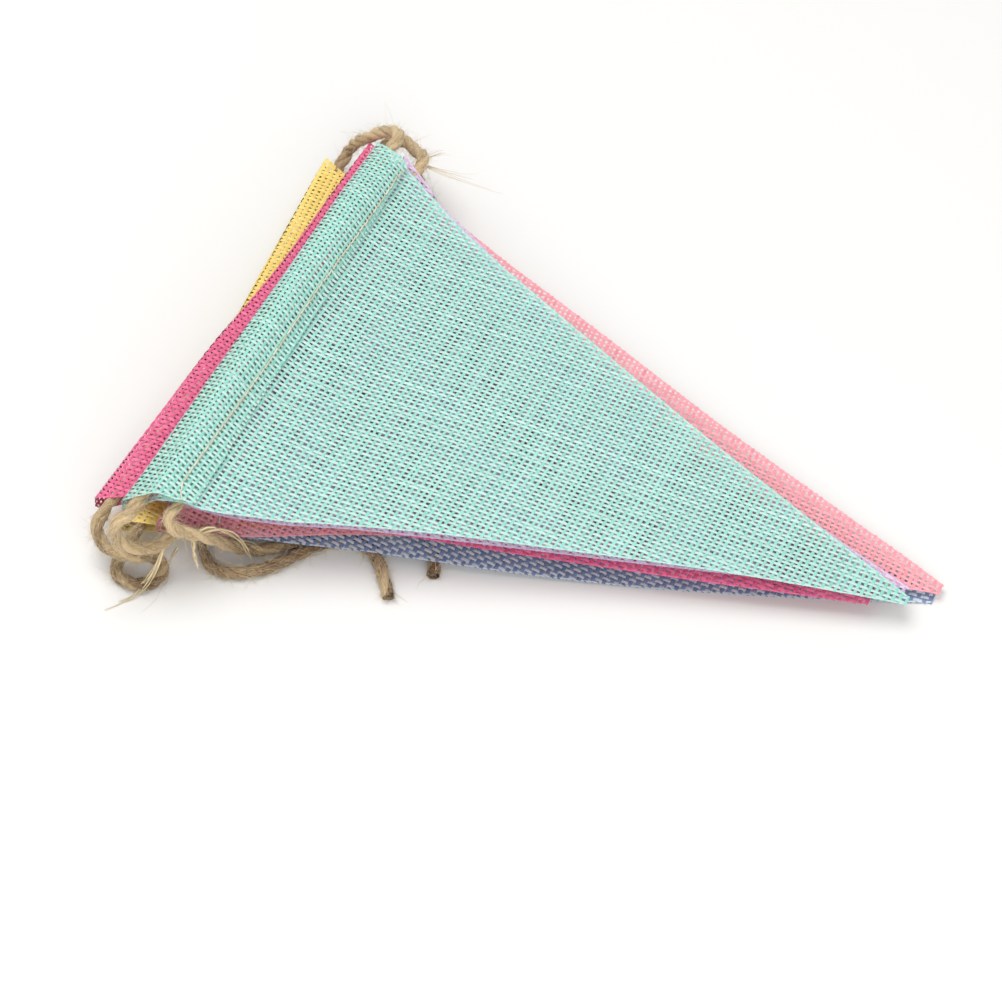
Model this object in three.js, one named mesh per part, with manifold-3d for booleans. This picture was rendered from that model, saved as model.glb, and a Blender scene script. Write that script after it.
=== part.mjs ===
// Fabric bunting, put away: six woven pennants lie on one another, threaded on one twine.
// Millimetres, +Z up, +X from the headings to the tips. Each pennant is one cloth: a tapered
// sheet whose heading is folded over into a casing, and the twine runs through every casing.

import * as THREE from "three";
import { mergeVertices } from "three/addons/utils/BufferGeometryUtils.js";
import Module from "manifold-3d";

const wasm = await Module();
wasm.setup();

// Cloth and twine
const CLOTH = 1.0;
const GAP = 0.3;
const TWINE_DIAMETER = 2.5;
const TWINE_SIDES = 8;
const TWINE_STEP = 5;

// Heading: the fold is at 0, the twine lies behind it, and the hem is sewn flat past it
const TWINE_FROM_FOLD = 4.5;
const CASING_RISE = 3.35;
const CASING_HALF_LENGTH = 6.5;
const HEM_DEPTH = 14.8;
const HEM_SLANT = 0.045;
const FOLD_WALL = 1.2;
const STITCH_FROM_TWINE = 5.4;
const HEM_SINK = 0.4;
const LEAST_CASING = 0.2;

// Pennant outline: the long edges are drawn in a little past the heading, and the tip is blunt
const EDGE_BOW = 3.4;
const BOW_FROM = 8;
const BOW_OVER = 40;
const TIP_HALF_WIDTH = 1.2;
const EDGE_SEGMENTS = 8;

// How the stack settles: the upper cloths bridge what lies under them
const BRIDGE_PLATEAU = 3.2;
const BRIDGE_STEEP = 4;
const BRIDGE_GENTLE = 38;
const BRIDGE_GENTLE_SHARE = 0.65;
const BRIDGE_BEHIND = 9;
const HEM_EASE = 16;
const TIP_CLEAR = 3;
const TIP_EASE = 34;
const RIPPLE_LENGTH = 74;
const RIPPLE_SHARE = 0.3;

// The lowest cloth lies on its casing, slopes down and is flat from there to its tip
const LIFT = 4.05;
const LIFT_FROM = 24;
const LIFT_TO = 122;

// The highest cloth's fold stands up between its two ends
const FOLD_RISE = 3.2;
const RISE_LENGTH = 17;
const RISE_EASE = 28;

// The stack's middle, which is put over the origin
const MIDDLE_X = 87.31;
const MIDDLE_Y = 4.22;

// The cloths from the lowest to the highest. x and y place the middle of the fold and turn is in
// degrees. skew pulls the tip sideways and sway the middle. air is the loose height above the
// cloth at half its length, and phase says where that height is more or less.
const PENNANTS = [
  { name: "navy", x: 10.5, y: 8, turn: 0.3, skew: 0, sway: -7.6, wide: 128, long: 182, air: 1.2, phase: 0.4 },
  { name: "yellow", x: -11.5, y: 4, turn: 6, skew: -12, sway: 0, wide: 140, long: 180, air: 1.5, phase: 2.1 },
  { name: "coral", x: 4.5, y: 4.3, turn: 1.9, skew: 0, sway: 2, wide: 140, long: 189, air: 1.3, phase: 3.7 },
  { name: "pink", x: -10, y: 7.5, turn: -2.4, skew: -1.5, sway: -4.2, wide: 142, long: 190, air: 1.4, phase: 5.2 },
  { name: "lilac", x: 8, y: 4.2, turn: 0, skew: -2.5, sway: -2.2, wide: 134, long: 178, air: 1.1, phase: 0.9 },
  { name: "teal", x: 0, y: 0, turn: 0, skew: 0, sway: 0.6, wide: 140, long: 187, air: 0, phase: 0 },
];
const COLOURS = {
  navy: 0x3f5378,
  yellow: 0xe9c53c,
  coral: 0xf28a84,
  pink: 0xe8447f,
  lilac: 0xc9a3cf,
  teal: 0x86d8c6,
};
const LOWEST = PENNANTS[0];
const HIGHEST = PENNANTS.at(-1);

// The order of the cloths along the twine, with the end at which it enters each
const THREADED = [
  { name: "lilac", enters: "near" },
  { name: "pink", enters: "far" },
  { name: "yellow", enters: "near" },
  { name: "teal", enters: "far" },
  { name: "coral", enters: "near" },
  { name: "navy", enters: "far" },
];
const CASING_POINTS = 15;
const CASING_MOUTH = 2;

// The bends between the casings and the two free ends, as points [x, y, z]
const FIRST_END = [
  [73.2, -41.4, 1.4], [71.2, -36.5, 1.4], [66.5, -32.0, 1.4], [60.0, -30.5, 1.4], [51.0, -33.0, 1.4],
  [41.0, -40.5, 1.4], [33.8, -49.7, 1.5], [29.9, -53.4, 1.9], [26.4, -56.3, 4.0], [23.7, -59.0, 7.0],
  [22.2, -60.8, 9.8], [20.4, -63.0, 12.8], [18.7, -65.4, 15.7], [17.0, -67.7, 18.3], [15.1, -69.2, 20.4],
  [13.3, -68.9, 21.7], [12.5, -67.0, 22.3],
];
const BENDS = [
  [[10.8, 77.0, 19.2], [7.0, 80.2, 16.6], [2.2, 83.8, 14.9], [-1.6, 82.8, 14.5]],
  [
    [-8.7, -67.0, 10.8], [-8.9, -68.5, 10.2], [-8.0, -70.7, 9.0], [-5.8, -72.9, 8.2], [-2.6, -73.9, 7.8],
    [1.1, -73.6, 7.5], [4.6, -72.2, 7.0], [7.0, -70.5, 6.2], [9.1, -69.5, 4.8], [10.4, -70.2, 3.2],
    [10.6, -72.3, 2.0], [9.4, -74.8, 1.7], [6.9, -76.6, 1.7], [3.9, -77.3, 1.7], [1.0, -76.7, 1.7],
    [-0.7, -75.2, 2.0], [-0.9, -73.4, 3.0], [-0.3, -71.4, 4.6], [0.3, -69.5, 6.5],
  ],
  [
    [-14.5, 79.4, 7.8], [-12.4, 80.6, 11.0], [-8.2, 79.6, 16.0], [-2.6, 78.9, 20.9], [2.2, 77.6, 24.2],
    [4.3, 75.2, 25.4],
  ],
  [
    [4.4, -73.8, 25.1], [2.9, -75.7, 24.4], [1.7, -76.4, 21.5], [1.5, -76.1, 17.9], [2.5, -75.1, 14.6],
    [4.4, -73.6, 12.2], [6.9, -72.0, 11.2], [9.2, -70.5, 11.4], [10.8, -69.0, 12.2],
  ],
  [[6.4, 77.6, 10.4], [6.6, 79.0, 8.3], [8.8, 78.9, 5.2], [12.6, 76.8, 3.3]],
];
const LAST_END = [
  [17.3, -60.9, 2.3], [19.4, -62.9, 1.8], [22.6, -64.0, 1.7], [26.5, -63.1, 1.7], [30.6, -60.6, 1.7],
  [34.4, -56.8, 1.7], [37.9, -52.0, 1.7], [43.2, -44.3, 1.7], [50.0, -40.5, 1.7], [55.7, -41.2, 1.7],
  [61.0, -46.2, 1.7], [66.1, -52.3, 1.7],
];
const TWINE_COLOUR = 0xa88f6a;

// Where heights are worked out: close together over the headings and wider over the sheets
const STATIONS_X = [...stations(-21, 33, 3), ...stations(41, 65, 8), ...stations(79, 205, 14)];
const STATIONS_Y = stations(-84, 84, 21);
const PRISM_BELOW = -10;
const PRISM_HEIGHT = 70;
const PRISM_MARGIN = 30;

const CLOTH_LOOK = { roughness: 0.95, metalness: 0 };

function stations(from, to, step) {
  const count = Math.round((to - from) / step);
  return Array.from({ length: count + 1 }, (_, i) => from + i * step);
}

// Runs smoothly from 0 to 1 as t does
function ease(t) {
  const u = Math.min(1, Math.max(0, t));
  return u * u * (3 - 2 * u);
}

// Rises from 0 to 1 and falls back to 0 as t runs from 0 to 1
function hump(t) {
  const u = Math.min(1, Math.max(0, t));
  return 4 * u * (1 - u);
}

// Distance past a pennant's fold, towards its tip
function pastFold(pennant, x, y) {
  const turn = THREE.MathUtils.degToRad(pennant.turn);
  return (x - pennant.x) * Math.cos(turn) + (y - pennant.y) * Math.sin(turn);
}

// The place on a pennant that lies past its fold by along, and across from its middle
function placeOn(pennant, along, across) {
  const turn = THREE.MathUtils.degToRad(pennant.turn);
  return [
    pennant.x + along * Math.cos(turn) - across * Math.sin(turn),
    pennant.y + along * Math.sin(turn) + across * Math.cos(turn),
  ];
}

// Distance from a pennant's middle line, along its fold
function fromMiddle(pennant, x, y) {
  const turn = THREE.MathUtils.degToRad(pennant.turn);
  return (y - pennant.y) * Math.cos(turn) - (x - pennant.x) * Math.sin(turn);
}

// How far the hem reaches past the fold: its cut edge is a little askew
function hemReach(across) {
  return HEM_DEPTH - HEM_SLANT * across;
}

// The casing's own rounded section, 0 to 1, by the distance from the twine
function casingSection(u) {
  return Math.max(0, 1 - (u / CASING_HALF_LENGTH) ** 2);
}

// The longer rise that the cloths above make over a casing
function bridge(u) {
  const past = Math.max(0, Math.abs(u) - BRIDGE_PLATEAU);
  if (u < 0) return Math.exp(-past / BRIDGE_BEHIND);
  const gentle = BRIDGE_GENTLE_SHARE * Math.exp(-past / BRIDGE_GENTLE);
  return gentle + (1 - BRIDGE_GENTLE_SHARE) * Math.exp(-past / BRIDGE_STEEP);
}

// How much a pennant lifts the cloths above it
function stackingHeight(pennant, x, y) {
  const s = pastFold(pennant, x, y);
  const behind = s < 0 ? Math.exp(s / BRIDGE_BEHIND) : 1;
  const body = behind * (1 - ease((s - pennant.long - TIP_CLEAR) / TIP_EASE));
  const pastHem = s - hemReach(fromMiddle(pennant, x, y)) - CLOTH;
  const hem = behind * (1 - ease(pastHem / HEM_EASE));
  const wave = 0.5 + 0.5 * Math.sin((2 * Math.PI * (x + 0.6 * y)) / RIPPLE_LENGTH + pennant.phase);
  const casing = pennant === LOWEST ? 0 : CASING_RISE * bridge(s - TWINE_FROM_FOLD);
  const hemLayer = pennant === LOWEST ? 0 : CLOTH * hem;
  const loose = pennant.air * (1 - RIPPLE_SHARE * wave) * hump(s / pennant.long);
  return (CLOTH + GAP + loose) * body + hemLayer + casing;
}

// How much the highest cloth stands up by its fold
function foldRise(x, y) {
  const along = 1 - ease(pastFold(HIGHEST, x, y) / RISE_LENGTH);
  const across = ease((HIGHEST.wide / 2 - Math.abs(fromMiddle(HIGHEST, x, y))) / RISE_EASE);
  return FOLD_RISE * along * across;
}

// Underside of a pennant's sheet
function underside(pennant, x, y) {
  let z = LIFT * (1 - ease((pastFold(LOWEST, x, y) - LIFT_FROM) / (LIFT_TO - LIFT_FROM)));
  for (const below of PENNANTS) {
    if (below === pennant) break;
    z += stackingHeight(below, x, y);
  }
  return pennant === HIGHEST ? z + foldRise(x, y) : z;
}

// Height inside a pennant's casing
function casingHeight(pennant, x, y) {
  return CASING_RISE * casingSection(pastFold(pennant, x, y) - TWINE_FROM_FOLD);
}

// A height function as the flat triangles between the stations give it
function faceted(height, x, y) {
  const i = STATIONS_X.findLastIndex((v) => v <= x);
  const j = STATIONS_Y.findLastIndex((v) => v <= y);
  const [x0, x1] = [STATIONS_X[i], STATIONS_X[i + 1]];
  const [y0, y1] = [STATIONS_Y[j], STATIONS_Y[j + 1]];
  const u = (x - x0) / (x1 - x0);
  const v = (y - y0) / (y1 - y0);
  const low = height(x0, y0);
  const high = height(x1, y1);
  const side = u > v ? height(x1, y0) : height(x0, y1);
  return u > v ? low + u * (side - low) + v * (high - side) : low + v * (side - low) + u * (high - side);
}

function solid(geometry) {
  const plain = geometry.clone();
  plain.deleteAttribute("normal");
  plain.deleteAttribute("uv");
  const merged = mergeVertices(plain, 1e-4);
  return new wasm.Manifold(
    new wasm.Mesh({
      numProp: 3,
      vertProperties: new Float32Array(merged.attributes.position.array),
      triVerts: new Uint32Array(merged.index.array),
    }),
  );
}

function geometryOf(body) {
  const mesh = body.getMesh();
  const geometry = new THREE.BufferGeometry();
  geometry.setAttribute("position", new THREE.BufferAttribute(mesh.vertProperties, 3));
  geometry.setIndex(new THREE.BufferAttribute(mesh.triVerts, 1));
  geometry.computeVertexNormals();
  return geometry;
}

// A layer between two height functions over all the stations. Its two faces split their
// cells along the same diagonals, so that layers which follow each other never cross.
function layer(low, high) {
  const cellsX = STATIONS_X.length - 1;
  const cellsY = STATIONS_Y.length - 1;
  const box = new THREE.BoxGeometry(cellsX, cellsY, 1, cellsX, cellsY, 1);
  const index = box.index.array;
  const under = box.groups[5];
  for (let i = under.start; i < under.start + under.count; i += 6) {
    const [a, b, d, , c] = index.slice(i, i + 6);
    index.set([a, b, c, a, c, d], i);
  }
  const points = box.attributes.position;
  for (let i = 0; i < points.count; i++) {
    const x = STATIONS_X[Math.round(points.getX(i) + cellsX / 2)];
    const y = STATIONS_Y[Math.round(points.getY(i) + cellsY / 2)];
    points.setXYZ(i, x, y, points.getZ(i) < 0 ? low(x, y) : high(x, y));
  }
  return solid(box);
}

// A tall prism of a flat shape, set on a pennant's fold
function prism(pennant, shape) {
  const geometry = new THREE.ExtrudeGeometry(shape, {
    depth: PRISM_HEIGHT,
    bevelEnabled: false,
    curveSegments: EDGE_SEGMENTS,
  });
  geometry.rotateZ(THREE.MathUtils.degToRad(pennant.turn));
  geometry.translate(pennant.x, pennant.y, PRISM_BELOW);
  return solid(geometry);
}

// Half the width at a distance past the fold
function halfWidth(pennant, along) {
  const a = along / pennant.long;
  const drawnIn = EDGE_BOW * hump(a) * ease((along - BOW_FROM) / BOW_OVER);
  return (pennant.wide / 2) * (1 - a) + TIP_HALF_WIDTH * a - drawnIn;
}

function outline(pennant) {
  const shares = stations(0, 1, 1 / EDGE_SEGMENTS);
  const edge = (side) =>
    shares.map((a) => {
      const along = a * pennant.long;
      const across = side * halfWidth(pennant, along) + pennant.skew * a + pennant.sway * hump(a);
      return new THREE.Vector2(along, across);
    });
  return new THREE.Shape([...edge(-1), ...edge(1).reverse()]);
}

// A strip across the pennant, from a distance past its fold to one that may change across it
function strip(pennant, from, to) {
  const half = pennant.wide / 2 + PRISM_MARGIN;
  return new THREE.Shape([
    new THREE.Vector2(from, -half),
    new THREE.Vector2(to(-half), -half),
    new THREE.Vector2(to(half), half),
    new THREE.Vector2(from, half),
  ]);
}

// The hem of the lowest cloth is folded under it, and the other hems lie on top
function casingRoom(pennant) {
  const sheet = (x, y) => underside(pennant, x, y);
  const room = (x, y) => Math.max(casingHeight(pennant, x, y), LEAST_CASING);
  if (pennant === LOWEST) {
    return { floor: (x, y) => Math.max(CLOTH, sheet(x, y) - room(x, y)), ceiling: sheet };
  }
  const floor = (x, y) => sheet(x, y) + CLOTH;
  return { floor, ceiling: (x, y) => floor(x, y) + room(x, y) };
}

function pennantSolid(pennant) {
  const sheet = (x, y) => underside(pennant, x, y);
  const { floor, ceiling } = casingRoom(pennant);
  const cloth = layer(sheet, (x, y) => sheet(x, y) + CLOTH);
  const hem =
    pennant === LOWEST
      ? layer((x, y) => floor(x, y) - CLOTH, (x, y) => sheet(x, y) + HEM_SINK)
      : layer((x, y) => sheet(x, y) + CLOTH - HEM_SINK, (x, y) => ceiling(x, y) + CLOTH);
  const hemStrip = prism(pennant, strip(pennant, -PRISM_MARGIN, hemReach));
  const tunnel = prism(pennant, strip(pennant, FOLD_WALL, () => TWINE_FROM_FOLD + STITCH_FROM_TWINE));
  const outer = cloth.add(hem.intersect(hemStrip)).intersect(prism(pennant, outline(pennant)));
  return outer.subtract(layer(floor, ceiling).intersect(tunnel));
}

// The twine inside one casing, from its near end to its far end
function casingRun(pennant) {
  const { floor, ceiling } = casingRoom(pennant);
  const half = pennant.wide / 2 + CASING_MOUTH;
  return Array.from({ length: CASING_POINTS }, (_, i) => {
    const [x, y] = placeOn(pennant, TWINE_FROM_FOLD, half * ((2 * i) / (CASING_POINTS - 1) - 1));
    return [x, y, (faceted(floor, x, y) + faceted(ceiling, x, y)) / 2];
  });
}

function twineRoute() {
  const route = [...FIRST_END];
  THREADED.forEach((row, i) => {
    const run = casingRun(PENNANTS.find((p) => p.name === row.name));
    route.push(...(row.enters === "near" ? run : run.reverse()));
    route.push(...(BENDS[i] ?? LAST_END));
  });
  return route.map(([x, y, z]) => new THREE.Vector3(x, y, z));
}

function twineGeometry() {
  const path = new THREE.CatmullRomCurve3(twineRoute(), false, "centripetal");
  const section = new THREE.Shape();
  for (let i = 0; i < TWINE_SIDES; i++) {
    const angle = (2 * Math.PI * i) / TWINE_SIDES;
    const x = (TWINE_DIAMETER / 2) * Math.cos(angle);
    const y = (TWINE_DIAMETER / 2) * Math.sin(angle);
    if (i === 0) section.moveTo(x, y);
    else section.lineTo(x, y);
  }
  path.arcLengthDivisions = 2000;
  return new THREE.ExtrudeGeometry(section, {
    steps: Math.round(path.getLength() / TWINE_STEP),
    extrudePath: path,
    bevelEnabled: false,
  });
}

const bunting = new THREE.Group();
bunting.position.set(-MIDDLE_X, -MIDDLE_Y, 0);

for (const pennant of PENNANTS) {
  const material = new THREE.MeshStandardMaterial({ color: COLOURS[pennant.name], ...CLOTH_LOOK });
  const mesh = new THREE.Mesh(geometryOf(pennantSolid(pennant)), material);
  mesh.name = "pennant_" + pennant.name;
  bunting.add(mesh);
}

const twine = new THREE.Mesh(
  twineGeometry(),
  new THREE.MeshStandardMaterial({ color: TWINE_COLOUR, ...CLOTH_LOOK }),
);
twine.name = "twine";
bunting.add(twine);

export default bunting;
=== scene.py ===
"""Fabric bunting, put away: six open-weave pennants lie on one another, threaded on one jute twine.

The tables are in millimetres and every mesh is in metres, in the frame of the solids: +X from the
headings to the tips, +Y along the headings, +Z up.
"""

import math
from collections import namedtuple

import bpy
import numpy as np
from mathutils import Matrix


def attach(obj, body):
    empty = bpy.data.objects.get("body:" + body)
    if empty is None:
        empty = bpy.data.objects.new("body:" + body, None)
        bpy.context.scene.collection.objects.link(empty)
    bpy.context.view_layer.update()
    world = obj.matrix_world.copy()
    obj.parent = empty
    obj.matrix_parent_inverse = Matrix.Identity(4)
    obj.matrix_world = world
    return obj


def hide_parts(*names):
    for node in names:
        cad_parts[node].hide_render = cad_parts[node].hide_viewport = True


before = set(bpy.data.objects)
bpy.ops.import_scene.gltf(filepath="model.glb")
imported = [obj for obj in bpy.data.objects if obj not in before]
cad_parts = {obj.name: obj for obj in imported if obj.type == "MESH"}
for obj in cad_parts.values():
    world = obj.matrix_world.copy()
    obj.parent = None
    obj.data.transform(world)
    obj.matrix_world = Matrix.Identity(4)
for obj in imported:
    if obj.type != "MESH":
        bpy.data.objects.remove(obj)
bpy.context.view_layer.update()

bl_info = {
    "name": "Fabric bunting",
    "version": (1, 0, 0),
    "blender": (4, 5, 0),
    "location": "View3D > Sidebar > Bunting",
    "description": "Stacked open-weave pennants on a jute twine",
    "category": "Add Mesh",
}

MM = 0.001
SEED = 7
TINY = 1e-9

# Cloth and casing, as in the solids
CLOTH = 1.0
GAP = 0.3
TWINE_FROM_FOLD = 4.5
CASING_RISE = 3.35
HEM_DEPTH = 14.8
HEM_SLANT = 0.045
EDGE_BOW = 3.4
BOW_FROM = 8.0
BOW_OVER = 40.0
TIP_HALF_WIDTH = 1.2

# The fold is creased, and the hem slopes from it down to the sheet
FOLD_RADIUS = 0.7
FOLD_SQUARE = 0.5
FOLD_HEIGHT = 4.2
TOP_FOLD_HEIGHT = 4.7
SLOPE_OVER = 12.3
SLOPE_POWER = 1.7

# Points of a cloth's section on its hem, round its fold and on its sheet
HEM_POINTS = 50
FOLD_POINTS = 25
SHEET_POINTS = 40

# The step by which a cloth is felt for its slopes
PROBE = 0.2

# How the stack settles, as in the solids
BRIDGE_PLATEAU = 3.2
BRIDGE_STEEP = 4.0
BRIDGE_GENTLE = 38.0
BRIDGE_GENTLE_SHARE = 0.65
BRIDGE_BEHIND = 9.0
HEM_EASE = 16.0
TIP_CLEAR = 3.0
TIP_EASE = 34.0
RIPPLE_LENGTH = 74.0
RIPPLE_SLANT = 0.6
RIPPLE_SHARE = 0.3
LIFT = 4.05
LIFT_FROM = 24.0
LIFT_TO = 122.0
FOLD_RISE = 3.2
RISE_LENGTH = 17.0
RISE_EASE = 28.0
MIDDLE = np.array([87.31, 4.22, 0.0])

# The near end of the highest fold rises more slowly than in the solids
RISE_EASE_NEAR = 48.0

# The cloths from the lowest to the highest, placed as in the solids but for lilac's skew and sway
Pennant = namedtuple("Pennant", "name x y turn skew sway wide long air phase")
PENNANTS = [
    Pennant("navy", 10.5, 8, 0.3, 0, -7.6, 128, 182, 1.2, 0.4),
    Pennant("yellow", -11.5, 4, 6, -12, 0, 140, 180, 1.5, 2.1),
    Pennant("coral", 4.5, 4.3, 1.9, 0, 2, 140, 189, 1.3, 3.7),
    Pennant("pink", -10, 7.5, -2.4, -1.5, -4.2, 142, 190, 1.4, 5.2),
    Pennant("lilac", 8, 4.2, 0, -0.6, -3.1, 134, 178, 1.1, 0.9),
    Pennant("teal", 0, 0, 0, 0, 0.6, 140, 187, 0, 0),
]
LOWEST = PENNANTS[0]
HIGHEST = PENNANTS[-1]

# Folds that are drawn in towards the tip, which the solids leave straight: by how much, round which
# place across, how widely and how squarely
Draw = namedtuple("Draw", "name amount centre width power")
FOLD_DRAWS = {row.name: row for row in [Draw("pink", 2.3, 18, 32, 2), Draw("teal", 2.15, -2, 62, 6)]}
DRAW_LENGTH = 17.0

# How open each weave is: the yarns' widths as shares of their spacing, the lean of the lengthwise
# yarns in degrees, and the strips that each yarn is made of
Weave = namedtuple("Weave", "name length_fill cross_fill lean strips")
WEAVES = {
    row.name: row
    for row in [
        Weave("navy", 0.62, 0.68, 2.0, 2),
        Weave("yellow", 0.68, 0.66, 4.0, 2),
        Weave("coral", 0.58, 0.56, 3.0, 2),
        Weave("pink", 0.66, 0.62, -3.0, 2),
        Weave("lilac", 0.56, 0.54, 3.0, 2),
        Weave("teal", 0.56, 0.50, -5.0, 3),
    ]
}

# The screen colours of each cloth's lengthwise and crosswise yarns. The lengthwise ones are paler: partly
# the yarns' own colour, partly a painted highlight where they catch the light
YARN_RUNS = ("length", "cross")
CLOTH_COLOURS = {
    "navy": (0xCEDDEA, 0x6484B6),
    "yellow": (0xFFE878, 0xFFD85C),
    "coral": (0xFCA8B2, 0xF896A2),
    "pink": (0xFB6299, 0xE43A78),
    "lilac": (0xE4CBE8, 0xD3B2DA),
    "teal": (0xBDE4D8, 0x8AD8CA),
}

# The yarns along the cut edges: how far inside they run, and half their width
EDGE_INSET = 0.3
EDGE_HALF = 0.28

# Where the weave starts: past both sides, at the first yarn, and how near a yarn comes to the hem's end
WEAVE_OVER = 2.0
FIRST_YARN = 0.4
HEM_END = 0.2

# How yarns stray: by uneven spacing, by a wave of their own, and by a slow wave that all of them share
Stray = namedtuple("Stray", "uneven wave rate drift run_length side_length")
LENGTH_STRAY = Stray(0.04, 0.10, 0.21, 0.7, 34, 50)
CROSS_STRAY = Stray(0.05, 0.10, 0.19, 0.8, 31, 80)

# A little over one full turn, for random phases
TURN = 6.3

# How far a yarn stands out of a cut edge, in shares of the fray, and the least steps that count
FRAY_RANGE = (-0.4, 1.0)
LEAST_FALL = 1e-6
LEAST_STEP = 1e-3

# The form of one yarn: its arch, how far round the fold it faces outwards, its slubs and its width
ARCH_POWER = 2.2
ARCH_DEPTH = 0.85
ARCH_DROP = 0.45
FOLD_TURN = 2.0
SLUB = 0.06
SLUB_RATES = (0.15, 0.5)
WIDTH_RANGE = (0.92, 1.08)

# The tone of one yarn: how much of it is the same all along, and how quickly the rest of it changes
TONE_SHARE = 0.6
TONE_RATES = (0.05, 0.2)

# The UV map: its scales along and across a yarn, and how far apart two yarns and two sets of yarns lie
UV_ALONG = 0.1
UV_ACROSS = 0.5
UV_APART = 3.0
UV_SETS_APART = 1000.0

# The order of the cloths along the twine, with the end at which it enters each
THREADED = [
    ("lilac", "near"),
    ("pink", "far"),
    ("yellow", "near"),
    ("teal", "far"),
    ("coral", "near"),
    ("navy", "far"),
]
CASING_POINTS = 15
CASING_MOUTH = 2.0
CURVE_STEPS = 24
TWINE_STEP = 0.8

# The bends between the casings and the two free ends of the twine, as in the solids
FIRST_END = [
    [73.2, -41.4, 1.4], [71.2, -36.5, 1.4], [66.5, -32.0, 1.4], [60.0, -30.5, 1.4], [51.0, -33.0, 1.4],
    [41.0, -40.5, 1.4], [33.8, -49.7, 1.5], [29.9, -53.4, 1.9], [26.4, -56.3, 4.0], [23.7, -59.0, 7.0],
    [22.2, -60.8, 9.8], [20.4, -63.0, 12.8], [18.7, -65.4, 15.7], [17.0, -67.7, 18.3], [15.1, -69.2, 20.4],
    [13.3, -68.9, 21.7], [12.5, -67.0, 22.3],
]
BENDS = [
    [[10.8, 77.0, 19.2], [7.0, 80.2, 16.6], [2.2, 83.8, 14.9], [-1.6, 82.8, 14.5]],
    [
        [-8.7, -67.0, 10.8], [-8.9, -68.5, 10.2], [-8.0, -70.7, 9.0], [-5.8, -72.9, 8.2], [-2.6, -73.9, 7.8],
        [1.1, -73.6, 7.5], [4.6, -72.2, 7.0], [7.0, -70.5, 6.2], [9.1, -69.5, 4.8], [10.4, -70.2, 3.2],
        [10.6, -72.3, 2.0], [9.4, -74.8, 1.7], [6.9, -76.6, 1.7], [3.9, -77.3, 1.7], [1.0, -76.7, 1.7],
        [-0.7, -75.2, 2.0], [-0.9, -73.4, 3.0], [-0.3, -71.4, 4.6], [0.3, -69.5, 6.5],
    ],
    [
        [-14.5, 79.4, 7.8], [-12.4, 80.6, 11.0], [-8.2, 79.6, 16.0], [-2.6, 78.9, 20.9], [2.2, 77.6, 24.2],
        [4.3, 75.2, 25.4],
    ],
    [
        [4.4, -73.8, 25.1], [2.9, -75.7, 24.4], [1.7, -76.4, 21.5], [1.5, -76.1, 17.9], [2.5, -75.1, 14.6],
        [4.4, -73.6, 12.2], [6.9, -72.0, 11.2], [9.2, -70.5, 11.4], [10.8, -69.0, 12.2],
    ],
    [[6.4, 77.6, 10.4], [6.6, 79.0, 8.3], [8.8, 78.9, 5.2], [12.6, 76.8, 3.3]],
]
LAST_END = [
    [17.3, -60.9, 2.3], [19.4, -62.9, 1.8], [22.6, -64.0, 1.7], [26.5, -63.1, 1.7], [30.6, -60.6, 1.7],
    [34.4, -56.8, 1.7], [37.9, -52.0, 1.7], [43.2, -44.3, 1.7], [50.0, -40.5, 1.7], [55.7, -41.2, 1.7],
    [61.0, -46.2, 1.7], [66.1, -52.3, 1.7],
]

# Where longer fibres leave the twine together: three places that each tuft runs through
Tuft = namedtuple("Tuft", "start middle end count spread thick")
TUFTS = [
    Tuft((11.0, -69.8, 11.5), (10.1, -74.7, 6.0), (6.9, -79.4, 0.8), 6, 0.8, 0.75),
    Tuft((9.6, -73.1, 5.0), (7.2, -79.4, 1.0), (2.8, -86.4, 0.5), 4, 0.5, 0.45),
    Tuft((17.5, -65.9, 14.0), (18.9, -67.6, 11.0), (20.5, -69.6, 8.0), 5, 0.4, 0.8),
    Tuft((17.4, -67.2, 15.0), (23.8, -59.6, 14.0), (30.0, -58.6, 3.0), 6, 0.8, 0.7),
    Tuft((20.9, -61.0, 9.0), (25.0, -56.7, 6.0), (31.1, -55.4, 2.0), 7, 1.2, 0.36),
    Tuft((13.2, -66.5, 9.0), (12.2, -68.1, 6.5), (11.4, -70.3, 4.0), 4, 0.6, 0.5),
    Tuft((12.3, 74.7, 18.0), (22.6, 73.5, 18.0), (32.9, 74.5, 17.0), 6, 2.4, 0.2),
    Tuft((10.3, 76.3, 18.0), (14.2, 78.4, 19.4), (18.4, 78.9, 20.0), 6, 2.0, 0.18),
]
TUFT_LENGTHS = (0.55, 1.1)
TUFT_START = 0.2
TUFT_SPREAD = 0.6
TUFT_WAVE = 0.4
TUFT_WAVES = (4, 9)

# Loose fibres: how long they are, how they leave the twine, curl, sag and wave, and their form
FIBRE_SHAPE = 1.6
LEAST_FIBRE = 0.7
FUZZ_FROM = 1.5
FIBRE_STAND = (0.1, 0.8)
FIBRE_LEAN = 1.2
FIBRE_CURL = 0.5
FIBRE_SAG = np.array([0, 0, -0.25])
FIBRE_BEND = 0.6
FIBRE_WAVE = 0.05
FIBRE_WAVES = (4, 12)
FIBRE_RINGS = 7
FIBRE_SIDES = 3
FIBRE_TAPER = 0.6
FIBRE_CLEAR = 0.12

# Plies of the twine: their distance from its middle and their radius, as shares of its diameter
PLY_OFFSET = 0.25
PLY_RADIUS = 0.36
PLIES = 3
PLY_SIDES = 8
FLOOR_CLEAR = 0.03

# How uneven the plies are in their wind, radius, offset and tone: by how much, over how many steps
Uneven = namedtuple("Uneven", "amount steps")
WIND = Uneven(0.5, 30)
SWELL = Uneven(0.09, 9)
SPREAD = Uneven(0.08, 14)
PLY_TONE = Uneven(0.7, 16)
SWELL_RANGE = (0.75, 1.2)

# The twine is darker where it lies low and paler where it lies high: partly the browner free ends, partly
# painted shade low down and painted light on top
TWINE_SHADE_AND_BROWNING = 2.2
PAINTED_SHADE_HEIGHT = 16.0

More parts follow.
